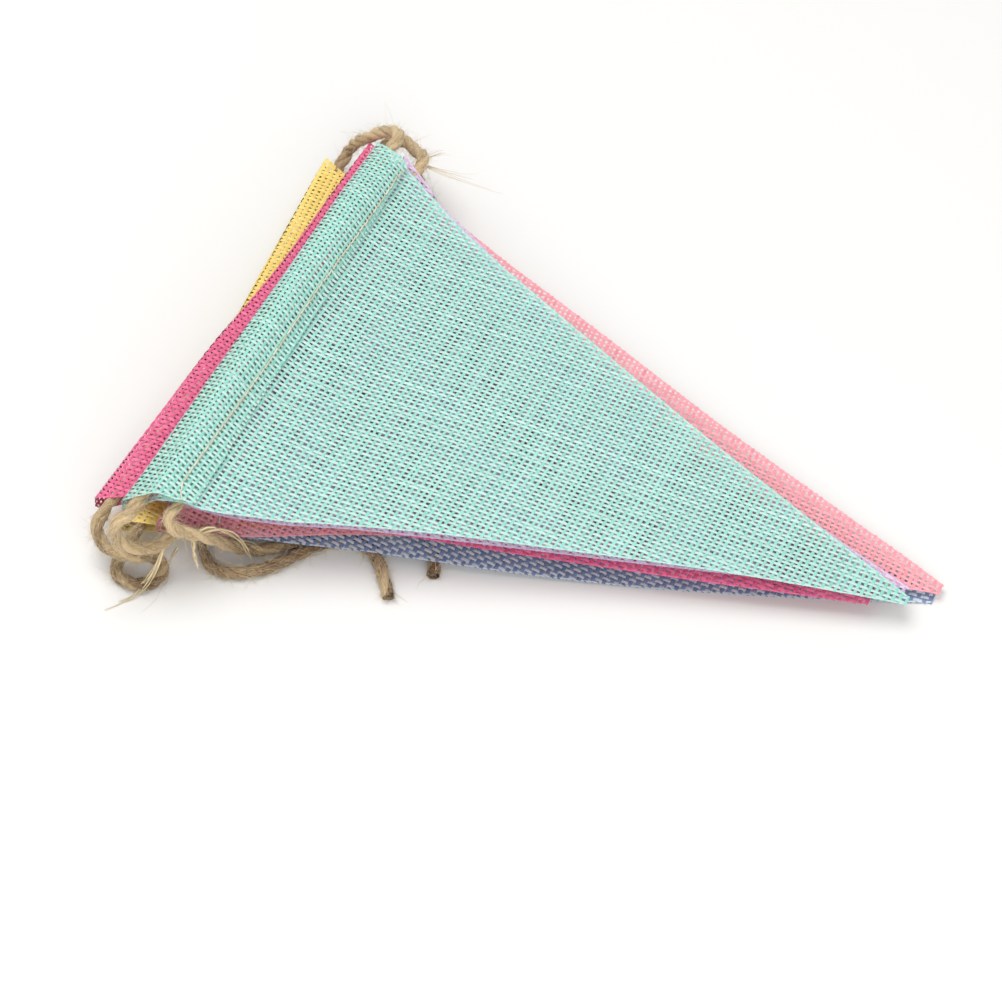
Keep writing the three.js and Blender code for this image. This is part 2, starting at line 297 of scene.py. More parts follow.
# The twine is pressed in the casings and plumper outside them
CASING_MIDDLE = 2.0
CASING_Y = 66.0
CASING_X = 16.0
PLUMP_SHARE = 0.2
PLUMP_OVER = 3.0

# The sewn line slants and waves, and it turns askew by its near end
STITCH_SLANT = 0.01
STITCH_ASKEW = 2.4
STITCH_TURN = 4.0
ROW_WAVE = 0.22
ROW_WAVE_LENGTH = 11.0

# One stitch: its points, its share of the pitch, its tilt and height, and how it strays across and along
STITCH_RINGS = 6
STITCH_SIDES = 6
STITCH_INSET = 1.0
STITCH_SHARE = 0.86
STITCH_TILT = 0.12
STITCH_LOW = 0.24
STITCH_ARCH = 0.26
STITCH_STRAY = (0.08, 0.07)

# The lights, from the place that the view aims at, and the floor, in metres
Lamp = namedtuple("Lamp", "ahead right up size")
KEY = Lamp(0.24, -0.24, 1.15, 1.0)
FILL = Lamp(-0.75, 0.15, 0.5, 0.7)
FLOOR_HALF = 1.6
FLOOR_POINTS = 3
FLOOR_SHADE = 0.985
FILM = 36.0


def linear(code):
    """A hexadecimal screen colour as linear red, green and blue, by the usual screen curve."""
    parts = np.array([(code >> 16) & 255, (code >> 8) & 255, code & 255]) / 255
    return tuple(np.where(parts <= 0.04045, parts / 12.92, ((parts + 0.055) / 1.055) ** 2.4))


def length(name, description, millimetres):
    """A length property, given in millimetres and kept in metres."""
    return bpy.props.FloatProperty(
        name=name, description=description, default=millimetres * MM, unit="LENGTH", precision=5
    )


def angle(name, description, degrees):
    """An angle property, given in degrees."""
    turn = math.radians(degrees)
    return bpy.props.FloatProperty(name=name, description=description, default=turn, subtype="ANGLE")


def number(name, description, value):
    """A plain number property."""
    return bpy.props.FloatProperty(name=name, description=description, default=value)


def colour(name, description, code):
    """A colour property with a screen colour as its default."""
    return bpy.props.FloatVectorProperty(
        name=name, description=description, default=linear(code), subtype="COLOR", min=0, max=1
    )


class BuntingSizes(bpy.types.PropertyGroup):
    """Sizes of the weave, the twine and the sewing."""

    length_spacing: length("Lengthwise spacing", "Between the yarns that run to the tip", 1.37)
    cross_spacing: length("Crosswise spacing", "Between the yarns that run along the heading", 1.56)
    crimp: length("Crimp", "How far a yarn rises and falls as it crosses the others", 0.12)
    yarn_height: length("Yarn height", "Thickness of one flat yarn", 0.30)
    fray: length("Fray", "How far yarn ends stand out of a cut edge", 0.12)
    twine_diameter: length("Twine diameter", "Thickness of the laid twine", 2.5)
    twine_lay: length("Lay length", "Length of one full turn of the three plies", 17.0)
    stitch: length("Stitch length", "Length of one sewn stitch", 2.6)
    stitch_from_fold: length("Stitch line", "From the fold to the sewn line", 11.8)
    thread: length("Thread", "Thickness of the sewing thread", 0.42)
    fibre: length("Fibre", "Thickness of a loose fibre", 0.09)
    fibres: bpy.props.IntProperty(name="Fibres", description="Loose fibres on the twine", default=4300)


class BuntingColours(bpy.types.PropertyGroup):
    """Colours of the yarns, the twine, the thread and the floor."""

    twine_light: colour("Twine light", "Light fibres of the twine", 0xD6BC92)
    # The dark twine colour gives its dark fibres, and also the painted shade that the twine takes where it
    # lies low
    twine_dark: colour("Twine dark", "Dark fibres of the twine", 0x5E432A)
    fibre: colour("Fibre", "Loose fibres of the twine", 0xF2DAA6)
    thread: colour("Thread", "Sewing thread", 0xD9CBA6)
    floor: colour("Floor", "Plain pale floor", 0xE6E5E3)


for name, codes in CLOTH_COLOURS.items():
    for run, code in zip(YARN_RUNS, codes):
        title = name.capitalize() + " " + run + "wise"
        yarns = colour(title, "The " + run + "wise yarns of the " + name + " cloth", code)
        BuntingColours.__annotations__[name + "_" + run] = yarns


class BuntingStage(bpy.types.PropertyGroup):
    """Camera and light."""

    azimuth: angle("Azimuth", "Turn of the view about Z", 25.865)
    elevation: angle("Elevation", "Height angle of the view", 51.333)
    right: length("Aim right", "Where the view's middle lies, to the right of the stack's fold", 65.15)
    forward: length("Aim forward", "Where the view's middle lies, away from the viewer", -43.41)
    distance: length("Distance", "From the camera to the floor in the view's middle", 784.71)
    lens: number("Lens", "Focal length in mm on a 36 mm film", 107.78)
    sky: number("Sky", "Strength of the even white light", 0.54)
    key: number("Key", "Power of the large light in watts", 10.2)
    fill: number("Fill", "Power of the small light in watts", 3.8)


def ease(t):
    """Runs smoothly from 0 to 1 as t does: 3 t squared less 2 t cubed."""
    u = np.clip(t, 0, 1)
    return u * u * (3 - 2 * u)


def hump(t):
    """Rises from 0 to 1 and falls back to 0 as t runs from 0 to 1: 4 t times (1 - t)."""
    u = np.clip(t, 0, 1)
    return 4 * u * (1 - u)


def past_fold(pennant, x, y):
    """Distance past a pennant's fold, towards its tip."""
    turn = math.radians(pennant.turn)
    return (x - pennant.x) * math.cos(turn) + (y - pennant.y) * math.sin(turn)


def place_on(pennant, along, across):
    """The place that lies past a pennant's fold by along, and across from its middle."""
    turn = math.radians(pennant.turn)
    x = pennant.x + along * math.cos(turn) - across * math.sin(turn)
    y = pennant.y + along * math.sin(turn) + across * math.cos(turn)
    return x, y


def from_middle(pennant, x, y):
    """Distance from a pennant's middle line, along its fold."""
    turn = math.radians(pennant.turn)
    return (y - pennant.y) * math.cos(turn) - (x - pennant.x) * math.sin(turn)


def hem_reach(across):
    """How far the hem reaches past the fold: its cut edge is a straight line, a little askew."""
    return HEM_DEPTH - HEM_SLANT * across


def bridge(u):
    """The longer rise that the cloths above make over a casing, a sum of falling exponentials."""
    past = np.maximum(0, np.abs(u) - BRIDGE_PLATEAU)
    gentle = BRIDGE_GENTLE_SHARE * np.exp(-past / BRIDGE_GENTLE)
    steep = (1 - BRIDGE_GENTLE_SHARE) * np.exp(-past / BRIDGE_STEEP)
    return np.where(u < 0, np.exp(-past / BRIDGE_BEHIND), gentle + steep)


def stacking_height(pennant, x, y):
    """How much a pennant lifts the cloths above it: its sheet, its loose air, its hem and its casing."""
    s = past_fold(pennant, x, y)
    behind = np.exp(np.minimum(s, 0) / BRIDGE_BEHIND)
    body = behind * (1 - ease((s - pennant.long - TIP_CLEAR) / TIP_EASE))
    wave = 0.5 + 0.5 * np.sin(2 * np.pi * (x + RIPPLE_SLANT * y) / RIPPLE_LENGTH + pennant.phase)
    loose = pennant.air * (1 - RIPPLE_SHARE * wave) * hump(s / pennant.long)
    height = (CLOTH + GAP + loose) * body
    if pennant is LOWEST:
        return height
    past_hem = s - hem_reach(from_middle(pennant, x, y)) - CLOTH
    hem = behind * (1 - ease(past_hem / HEM_EASE))
    return height + CLOTH * hem + CASING_RISE * bridge(s - TWINE_FROM_FOLD)


def fold_rise(x, y):
    """How much the highest cloth stands up by its fold: eased along the cloth and from both its ends."""
    along = 1 - ease(past_fold(HIGHEST, x, y) / RISE_LENGTH)
    middle = from_middle(HIGHEST, x, y)
    over = np.where(middle < 0, RISE_EASE_NEAR, RISE_EASE)
    return FOLD_RISE * along * ease((HIGHEST.wide / 2 - np.abs(middle)) / over)


def underside(pennant, x, y):
    """Underside of a pennant's sheet: the lowest cloth's slope and all the cloths below it."""
    z = LIFT * (1 - ease((past_fold(LOWEST, x, y) - LIFT_FROM) / (LIFT_TO - LIFT_FROM)))
    for below in PENNANTS[: PENNANTS.index(pennant)]:
        z = z + stacking_height(below, x, y)
    return z + fold_rise(x, y) if pennant is HIGHEST else z


def half_width(pennant, along):
    """Half the width at a distance past the fold: a straight taper, drawn in by an eased parabola."""
    a = np.clip(along / pennant.long, 0, 1)
    bow = EDGE_BOW * hump(a) * ease((along - BOW_FROM) / BOW_OVER)
    return pennant.wide / 2 * (1 - a) + TIP_HALF_WIDTH * a - bow


def cloth_section(pennant):
    """Section of one cloth from the hem's cut edge, over the casing and round the fold, to the tip.

    Gives the length of cloth from the fold (below 0 on the hem), the distance past the fold and the
    height over the sheet's middle. The fold is half a squared ellipse. The hem is highest by it and
    slopes down to the sheet as a power of the distance. The lowest cloth's hem lies under it.
    """
    hem_s = np.linspace(hem_reach(-pennant.wide / 2), FOLD_RADIUS, HEM_POINTS)
    height = TOP_FOLD_HEIGHT if pennant is HIGHEST else FOLD_HEIGHT
    slope = np.clip((hem_s - FOLD_RADIUS) / SLOPE_OVER, 0, 1) ** SLOPE_POWER
    hem_q = CLOTH + (height - CLOTH) * (1 - slope)
    angle = np.radians(np.linspace(90, 270, FOLD_POINTS))
    fold_s = FOLD_RADIUS * (1 - np.abs(np.cos(angle)) ** FOLD_SQUARE)
    fold_q = height / 2 * (1 + np.sign(np.sin(angle)) * np.abs(np.sin(angle)) ** FOLD_SQUARE)
    body_s = np.linspace(FOLD_RADIUS, pennant.long, SHEET_POINTS)
    s = np.concatenate([hem_s, fold_s[1:-1], body_s])
    q = np.concatenate([hem_q, fold_q[1:-1], np.zeros(SHEET_POINTS)])
    lengths = np.concatenate([[0], np.cumsum(np.hypot(np.diff(s), np.diff(q)))])
    lengths = lengths - lengths[HEM_POINTS + FOLD_POINTS // 2 - 1]
    return lengths, s, -q if pennant is LOWEST else q


def drawn_in(pennant, along, w):
    """How far the cloth by a fold is drawn towards the tip: a bell across it, eased along it."""
    draw = FOLD_DRAWS.get(pennant.name)
    if draw is None:
        return 0.0
    bell = np.exp(-np.abs((w - draw.centre) / draw.width) ** draw.power)
    return draw.amount * bell * (1 - ease(along / DRAW_LENGTH))


def on_cloth(pennant, section, t, w):
    """The middle of the cloth at length t from its fold and w across, as points in millimetres."""
    lengths, s, q = section
    along = np.interp(t, lengths, s)
    a = along / pennant.long
    along = along + drawn_in(pennant, along, w)
    x, y = place_on(pennant, along, w + pennant.skew * a + pennant.sway * hump(a))
    z = underside(pennant, x, y) + CLOTH / 2 + np.interp(t, lengths, q)
    return np.stack([x, y, z], -1)


def unit(v):
    """Vectors scaled to a length of 1."""
    return v / np.maximum(np.linalg.norm(v, axis=-1, keepdims=True), TINY)


def cloth_slopes(pennant, section, t, w):
    """Unit directions along a cloth and across it, from small steps, and its normal as their product."""
    by_t = unit(on_cloth(pennant, section, t + PROBE, w) - on_cloth(pennant, section, t - PROBE, w))
    by_w = unit(on_cloth(pennant, section, t, w + PROBE) - on_cloth(pennant, section, t, w - PROBE))
    return by_t, by_w, unit(np.cross(by_t, by_w))


def mesh_object(name, points, faces, uv=None, tone=None):
    """An object at the origin from points in millimetres and quads, with a UV map and a tone attribute."""
    mesh = bpy.data.meshes.new(name)
    mesh.vertices.add(len(points))
    mesh.vertices.foreach_set("co", ((points - MIDDLE) * MM).astype(np.float32).ravel())
    mesh.loops.add(faces.size)
    mesh.loops.foreach_set("vertex_index", faces.astype(np.int32).ravel())
    mesh.polygons.add(len(faces))
    mesh.polygons.foreach_set("loop_start", np.arange(0, faces.size, faces.shape[1], dtype=np.int32))
    mesh.polygons.foreach_set("use_smooth", np.ones(len(faces), dtype=bool))
    mesh.update(calc_edges=True)
    if uv is not None:
        layer = mesh.uv_layers.new(name="yarn")
        layer.data.foreach_set("uv", uv[faces.ravel()].astype(np.float32).ravel())
    if tone is not None:
        mesh.attributes.new("tone", "FLOAT", "POINT").data.foreach_set("value", tone.astype(np.float32))
    item = bpy.data.objects.new(name, mesh)
    bpy.context.scene.collection.objects.link(item)
    return item


def grid_faces(rows, columns, closed=False):
    """Quads of a grid of points, row by row, with its columns joined into a ring if it is closed."""
    row = np.arange(rows - 1)[:, None] * columns
    column = np.arange(columns if closed else columns - 1)[None, :]
    right = (column + 1) % columns
    return np.stack([row + column, row + right, row + columns + right, row + columns + column], -1)


def used_only(points, faces, *others):
    """Drops the points that no face uses."""
    used = np.zeros(len(points), dtype=bool)
    used[faces.ravel()] = True
    places = np.cumsum(used) - 1
    return (points[used], places[faces], *[other[used] for other in others])


def yarn_ends(inside, fray, rng):
    """First and last station of each yarn, where its inside measure falls to 0, with frayed ends."""
    count = inside.shape[1]
    rows = np.arange(len(inside))
    held = inside > 0
    first = held.argmax(1)
    last = count - 1 - held[:, ::-1].argmax(1)
    before = np.maximum(first - 1, 0)
    after = np.minimum(last + 1, count - 1)
    lead = inside[rows, first] / np.maximum(inside[rows, first] - inside[rows, before], LEAST_FALL)
    trail = inside[rows, last] / np.maximum(inside[rows, last] - inside[rows, after], LEAST_FALL)
    lead = np.where(before < first, np.clip(lead, 0, 1), 0)
    trail = np.where(after > last, np.clip(trail, 0, 1), 0)
    start = first - lead - fray * rng.uniform(*FRAY_RANGE, len(rows))
    end = last + trail + fray * rng.uniform(*FRAY_RANGE, len(rows))
    empty = ~held.any(1)
    return np.where(empty, 0, start), np.where(empty, 0, end)


def at_stations(values, stations):
    """Values of each row at stations that lie between its columns."""
    index = np.clip(np.floor(stations).astype(int), 0, values.shape[1] - 2)
    part = stations - index
    low = np.take_along_axis(values, index, 1)
    return low + part * (np.take_along_axis(values, index + 1, 1) - low)


def with_middles(values):
    """Each row with the means of its neighbours put between them."""
    out = np.empty((values.shape[0], 2 * values.shape[1] - 1))
    out[:, ::2] = values
    out[:, 1::2] = (values[:, 1:] + values[:, :-1]) / 2
    return out


def ribbons(pennant, section, t, w, rise, half, sizes, strips, lengthwise, rng):
    """Flat yarns as arched strips: t and w are their stations on the cloth, one yarn to a row.

    Each strip follows the cloth's middle, lifted along its normal by rise, and is arched across its
    own width. The arch faces outwards: up on the sheet, and away from the sheet on the hem.
    """
    lengths, s, _ = section
    along = np.interp(t, lengths, s)
    inside = half_width(pennant, along) - np.abs(w) - (half if lengthwise else 0)
    inside = np.where(t < 0, np.minimum(inside, hem_reach(w) - along), inside)
    inside = np.where((t < lengths[0]) | (t > lengths[-1]), -1, inside)
    step = np.median(np.hypot(np.diff(t, axis=1), np.diff(w, axis=1)))
    start, end = yarn_ends(inside, sizes.fray / MM / step, rng)
    count = t.shape[1]
    stations = np.clip(np.arange(count)[None, :], start[:, None], end[:, None])
    stations = np.clip(stations, 0, count - 1)
    t, w, rise = (at_stations(values, stations) for values in (t, w, rise))
    middle = on_cloth(pennant, section, t, w)
    by_t, by_w, normal = cloth_slopes(pennant, section, t, w)
    side = unit(np.cross(normal, by_t if lengthwise else by_w))
    fold_foot = lengths[np.argmax(lengths > 0)] + FOLD_TURN
    outer = np.where((t < fold_foot) & (pennant is not LOWEST), -1.0, 1.0)
    across = np.linspace(-1, 1, strips + 1)
    arch = (1 - np.abs(across) ** ARCH_POWER * ARCH_DEPTH) - ARCH_DROP
    each = (len(t), 1)
    rate = rng.uniform(*SLUB_RATES, each)
    slub = 1 + SLUB * np.sin(stations * rate + rng.uniform(0, TURN, each))
    slub = slub * rng.uniform(*WIDTH_RANGE, each)
    high = rise[..., None] + (outer * sizes.yarn_height / MM / 2)[..., None] * arch
    points = (
        middle[..., None, :]
        + normal[..., None, :] * high[..., None]
        + side[..., None, :] * (across * (half * slub)[..., None])[..., None]
    )
    rows, columns, wide = points.shape[:3]
    one = grid_faces(columns, wide)
    faces = one[None] + (np.arange(rows) * columns * wide)[:, None, None, None]
    flipped = faces[..., ::-1]
    faces = np.where((outer[:, 1:] < 0)[..., None, None], faces, flipped)
    faces = faces[np.diff(stations, axis=1) > LEAST_STEP].reshape(-1, 4)
    each = (rows, 1, 1)
    own = rng.normal(0, 1, each)
    rate = rng.uniform(*TONE_RATES, each)
    swing = np.sin(stations[..., None] * rate + rng.uniform(0, TURN, each))
    tone = np.broadcast_to(TONE_SHARE * own + (1 - TONE_SHARE) * swing, points.shape[:3])
    u = np.broadcast_to((stations * step)[..., None] * UV_ALONG, points.shape[:3])
    v = np.broadcast_to(across * UV_ACROSS, points.shape[:3]) + np.arange(rows)[:, None, None] * UV_APART
    uv = np.stack([u, v + (0 if lengthwise else UV_SETS_APART)], -1).reshape(-1, 2)
    return points.reshape(-1, 3), faces, uv, tone.reshape(-1)


def stray(way, run, side, own, phase):
    """How far yarns lie from straight lines: a sine of each yarn's own and a slower one that all share."""
    alone = way.wave * np.sin(run * way.rate + own)
    return alone + way.drift * np.sin(run / way.run_length + side / way.side_length + phase)


def woven_cloth(pennant, sizes, rng):
    """A plain weave on a pennant: a grid of crossings, with each yarn over one and under the next.

    Crossing i, j lies at the i-th lengthwise and the j-th crosswise spacing, with a lean, a slow
    common wave and a small wander of each yarn. A yarn rises at the crossings where i + j is even
    and falls where it is odd, and the other set does the reverse. One more yarn follows each cut edge.
    """
    weave = WEAVES[pennant.name]
    section = cloth_section(pennant)
    lengths = section[0]
    spacing_w = sizes.length_spacing / MM
    spacing_t = sizes.cross_spacing / MM
    reach = pennant.wide / 2 + WEAVE_OVER
    count_w = int(2 * reach / spacing_w)
    count_t = int((lengths[-1] - lengths[0]) / spacing_t)
    i = np.arange(count_w)[:, None]
    j = np.arange(count_t)[None, :]
    own_w = rng.uniform(0, TURN, (count_w, 1))
    own_t = rng.uniform(0, TURN, (1, count_t))
    w = (i - (count_w - 1) / 2) * spacing_w + rng.normal(0, LENGTH_STRAY.uneven, (count_w, 1))
    t = lengths[0] + FIRST_YARN + j * spacing_t + rng.normal(0, CROSS_STRAY.uneven, (1, count_t))
    lean = math.tan(math.radians(weave.lean))
    full_w = w - lean * t + stray(LENGTH_STRAY, t, w, own_w, pennant.phase)
    full_t = t + stray(CROSS_STRAY, w, t, own_t, 2 * pennant.phase)
    full_t = np.maximum(full_t, lengths[0] + HEM_END)
    over = np.where((i + j) % 2 == 0, 1.0, -1.0) * (sizes.crimp / MM)
    length_half = spacing_w * weave.length_fill / 2
    cross_half = spacing_t * weave.cross_fill / 2
    edge_t = np.tile(np.linspace(lengths[0] + HEM_END, t.max() + EDGE_INSET, 2 * count_t), (2, 1))
    edge_w = half_width(pennant, np.interp(edge_t, lengths, section[1])) - EDGE_INSET
    edges = ribbons(
        pennant, section, edge_t, edge_w * np.array([[-1.0], [1.0]]), np.zeros(edge_t.shape),
        EDGE_HALF, sizes, weave.strips, True, rng,
    )
    long_yarns = ribbons(
        pennant, section, with_middles(full_t), with_middles(full_w), with_middles(over),
        length_half, sizes, weave.strips, True, rng,
    )
    cross_yarns = ribbons(
        pennant, section, with_middles(full_t.T), with_middles(full_w.T), with_middles(-over.T),
        cross_half, sizes, weave.strips, False, rng,
    )
    return joined(long_yarns, edges), cross_yarns


def joined(*pieces):
    """Several sets of points, faces, uv and tone as one."""
    starts = np.cumsum([0] + [len(piece[0]) for piece in pieces[:-1]])
    points = np.concatenate([piece[0] for piece in pieces])
    faces = np.concatenate([piece[1] + start for piece, start in zip(pieces, starts)])
    uv = np.concatenate([piece[2] for piece in pieces])
    tone = np.concatenate([piece[3] for piece in pieces])
    return points, faces, uv, tone


def casing_run(pennant):
    """The twine's points inside one casing, at half the room's height, from its near end to its far end."""
    across = (pennant.wide / 2 + CASING_MOUTH) * np.linspace(-1, 1, CASING_POINTS)
    x, y = place_on(pennant, TWINE_FROM_FOLD, across)
    sheet = underside(pennant, x, y)
    if pennant is LOWEST:
        z = (np.maximum(CLOTH, sheet - CASING_RISE) + sheet) / 2
    else:
        z = sheet + CLOTH + CASING_RISE / 2
    return np.stack([x, y, z], -1)


def twine_route():
    """All the points that the twine passes, from its first free end to its last."""
    by_name = {pennant.name: pennant for pennant in PENNANTS}
    parts = [np.array(FIRST_END)]
    for (name, end), bend in zip(THREADED, BENDS + [LAST_END]):
        run = casing_run(by_name[name])
        parts.append(run if end == "near" else run[::-1])
        parts.append(np.array(bend))
    return np.concatenate(parts)


def smooth_path(points, step):
    """A centripetal Catmull-Rom curve through the points, at even steps along its length."""
    ends = np.concatenate([[2 * points[0] - points[1]], points, [2 * points[-1] - points[-2]]])
    p0, p1, p2, p3 = ends[:-3], ends[1:-2], ends[2:-1], ends[3:]
    gaps = np.sqrt(np.linalg.norm(np.diff(ends, axis=0), axis=1))[:, None]
    d0, d1, d2 = gaps[:-2], gaps[1:-1], gaps[2:]
    m1 = ((p1 - p0) / d0 - (p2 - p0) / (d0 + d1) + (p2 - p1) / d1) * d1
    m2 = ((p2 - p1) / d1 - (p3 - p1) / (d1 + d2) + (p3 - p2) / d2) * d1
    u = np.linspace(0, 1, CURVE_STEPS, endpoint=False)[:, None, None]
    curve = (
        (2 * u**3 - 3 * u**2 + 1) * p1
        + (u**3 - 2 * u**2 + u) * m1
        + (3 * u**2 - 2 * u**3) * p2
        + (u**3 - u**2) * m2
    )
    dense = np.concatenate([curve.transpose(1, 0, 2).reshape(-1, 3), points[-1:]])
    run = np.concatenate([[0], np.cumsum(np.linalg.norm(np.diff(dense, axis=0), axis=1))])
    even = np.linspace(0, run[-1], int(round(run[-1] / step)) + 1)
    return np.stack([np.interp(even, run, dense[:, k]) for k in range(3)], -1), even


def path_frames(path):
    """Tangents of a path and two directions across it, taken from one fixed direction."""
    tangent = unit(np.gradient(path, axis=0))
    fixed = np.array([0.83, 0.12, 0.55])
    first = unit(fixed - (tangent @ fixed)[:, None] * tangent)
    return tangent, first, np.cross(tangent, first)


def noise_along(count, uneven, rng):
    """Smooth noise at count places: random knots that lie some steps apart, with eased values between."""
    knots = rng.normal(0, 1, int(count / uneven.steps) + 4)
    places = np.arange(count) / uneven.steps + 1
    index = places.astype(int)
    part = ease(places - index)
    return uneven.amount * (knots[index] * (1 - part) + knots[index + 1] * part)


def freed(path):
    """0 in the casings and 1 outside them, eased over a short stretch."""
    past_ends = ease((np.abs(path[:, 1] - CASING_MIDDLE) - CASING_Y) / PLUMP_OVER)
    return np.maximum(past_ends, ease((path[:, 0] - CASING_X) / PLUMP_OVER))


def laid_twine(path, run, diameter, lay, rng):
    """Three plies laid round a path: each is a tube of circles whose centre winds round the path.

    The plies' centres lie at a share of the diameter from the path and turn once in each lay length.
    """
    _, first, second = path_frames(path)
    count = len(path)
    wind = 2 * np.pi * run / lay + noise_along(count, WIND, rng)
    around = np.linspace(0, 2 * np.pi, PLY_SIDES, endpoint=False)
    plump = 1 + PLUMP_SHARE * freed(path)
    pieces = []
    for ply in range(PLIES):
        turn = wind + 2 * np.pi * ply / PLIES
        swell = np.clip(1 + noise_along(count, SWELL, rng), *SWELL_RANGE)
        offset = PLY_OFFSET * diameter * plump * (1 + noise_along(count, SPREAD, rng))
        radius = PLY_RADIUS * diameter * plump * swell
        centre = path + offset[:, None] * (np.cos(turn)[:, None] * first + np.sin(turn)[:, None] * second)
        ring = turn[:, None] + around[None, :]
        spoke = np.cos(ring)[..., None] * first[:, None] + np.sin(ring)[..., None] * second[:, None]
        points = centre[:, None] + radius[:, None, None] * spoke
        points[..., 2] = np.maximum(points[..., 2], FLOOR_CLEAR)
        faces = grid_faces(count, PLY_SIDES, closed=True).reshape(-1, 4)
        across = around[None, :] / TURN + UV_APART * ply
        uv = np.stack(np.broadcast_arrays(run[:, None] * UV_ALONG, across), -1)
        # Painted shade on low twine and painted light on high twine, together with the browner free ends
        tone = noise_along(count, PLY_TONE, rng) + TWINE_SHADE_AND_BROWNING * (ease(path[:, 2] / PAINTED_SHADE_HEIGHT) - 0.5)
        tone = np.broadcast_to(tone[:, None], (count, PLY_SIDES))
        pieces.append((points.reshape(-1, 3), faces, uv.reshape(-1, 2), tone.reshape(-1)))
    return joined(*pieces)


def thin_tubes(lines, radius, sides):
    """Tubes round lines of equally many points: a ring of the given radius across each point."""
    count, rings = lines.shape[:2]
    run = unit(np.gradient(lines, axis=1))
    fixed = np.array([0.3, 0.4, 0.87])
    side = unit(np.cross(run, fixed))
    other = np.cross(run, side)
    ring = np.linspace(0, 2 * np.pi, sides, endpoint=False)
    spoke = np.cos(ring)[:, None] * side[:, :, None] + np.sin(ring)[:, None] * other[:, :, None]
    points = lines[:, :, None] + np.broadcast_to(radius, (count, rings))[..., None, None] * spoke
    faces = grid_faces(rings, sides, closed=True).reshape(-1, 4)
    faces = (faces[None] + (np.arange(count) * rings * sides)[:, None, None]).reshape(-1, 4)
    run_uv = np.linspace(0, 1, rings)[None, :, None] + np.arange(count)[:, None, None] * UV_APART
    uv = np.stack(np.broadcast_arrays(run_uv, ring / (2 * np.pi)), -1)
    return points.reshape(-1, 3), faces, uv.reshape(-1, 2)


def loose_fibres(path, starts, lengths, thickness, rng):
    """Thin fibres that leave the path: a straight start that bends by a square of its run."""
    tangent, first, second = path_frames(path)
    count = len(starts)
    turn = rng.uniform(0, 2 * np.pi, (count, 1))
    spoke = np.cos(turn) * first[starts] + np.sin(turn) * second[starts]
    stand = spoke * rng.uniform(*FIBRE_STAND, (count, 1))
    way = unit(stand + tangent[starts] * rng.normal(0, FIBRE_LEAN, (count, 1)))
    curl = rng.normal(0, FIBRE_CURL, (count, 3)) + FIBRE_SAG
    u = np.linspace(0, 1, FIBRE_RINGS)[None, :, None]
    reach = lengths[:, None, None]
    root = path[starts] + spoke * FUZZ_FROM
    line = root[:, None] + reach * (u * way[:, None] + u**2 * curl[:, None] * FIBRE_BEND)
    wave = np.sin(u * rng.uniform(*FIBRE_WAVES, (count, 1, 1)))
    line = line + reach * FIBRE_WAVE * wave * spoke[:, None]
    return fibre_tubes(line, thickness, rng)


def tuft_fibres(tuft, rng):
    """Fibres that leave the twine together: parabolas through three places, which spread as they run."""
    start, middle, end = (np.array(place) for place in (tuft.start, tuft.middle, tuft.end))
    pull = 2 * middle - (start + end) / 2
    lengths = rng.uniform(*TUFT_LENGTHS, (tuft.count, 1, 1))
    u = np.linspace(0, 1, FIBRE_RINGS)[None, :, None] * lengths
    line = (1 - u) ** 2 * start + 2 * u * (1 - u) * pull + u**2 * end
    line = line + tuft.spread * (TUFT_START + u) * rng.normal(0, TUFT_SPREAD, (tuft.count, 1, 3))
    wave = np.sin(u * rng.uniform(*TUFT_WAVES, (tuft.count, 1, 1)))
    line = line + TUFT_WAVE * wave * rng.normal(0, 1, (tuft.count, 1, 3))
    return fibre_tubes(line, tuft.thick, rng)


def fibre_tubes(line, thickness, rng):
    """Tapered three-sided tubes that stay over the floor, each of one tone."""
    line[..., 2] = np.maximum(line[..., 2], max(FIBRE_CLEAR, thickness / 2))
    radius = thickness / 2 * (1 - FIBRE_TAPER * np.linspace(0, 1, FIBRE_RINGS))
    points, faces, uv = thin_tubes(line, radius, FIBRE_SIDES)
    return points, faces, uv, np.repeat(rng.normal(0, 1, len(line)), FIBRE_SIDES * FIBRE_RINGS)


def sewn_line(pennant, sizes, rng):
    """One row of stitches along the hem: short tubes whose ends dip into the cloth.

    Each runs across by the stitch length less a small gap, and its height over the cloth is the
    square root of a parabola along it. The row turns askew by its near end.
    """
    section = cloth_section(pennant)
    along = sizes.stitch_from_fold / MM
    half = half_width(pennant, along) - STITCH_INSET
    pitch = sizes.stitch / MM
    count = int(2 * half / pitch)
    stray_w, stray_t = STITCH_STRAY
    start = -half + pitch * np.arange(count)[:, None] + rng.normal(0, stray_w, (count, 1))
    u = np.linspace(0, 1, STITCH_RINGS)[None, :]
    w = start + u * pitch * STITCH_SHARE
    hem_t = np.interp(STITCH_SLANT * w - along, -section[1][:HEM_POINTS], section[0][:HEM_POINTS])
    askew = STITCH_ASKEW * np.clip((STITCH_TURN - half - w) / STITCH_TURN, 0, 1)
    wave = ROW_WAVE * np.sin(w / ROW_WAVE_LENGTH + pennant.phase)
    t = hem_t - askew + wave + rng.normal(0, stray_t, (count, 1)) + STITCH_TILT * (u - 0.5)
    normal = cloth_slopes(pennant, section, t, w)[2]
    away = normal if pennant is LOWEST else -normal
    height = STITCH_LOW + STITCH_ARCH * np.sqrt(hump(u))
    line = on_cloth(pennant, section, t, w) + away * height[..., None]
    points, faces, uv = thin_tubes(line, sizes.thread / MM / 2, STITCH_SIDES)
    return points, faces, uv, np.repeat(rng.normal(0, 1, count), STITCH_RINGS * STITCH_SIDES)


def math_node(tree, operation, *sources):
    """The result of a math node that is fed by sockets and plain numbers."""
    node = tree.nodes.new("ShaderNodeMath")
    node.operation = operation
    for socket, source in zip(node.inputs, sources):
        if isinstance(source, bpy.types.NodeSocket):
            tree.links.new(source, socket)
        else:
            socket.default_value = source
    return node.outputs[0]


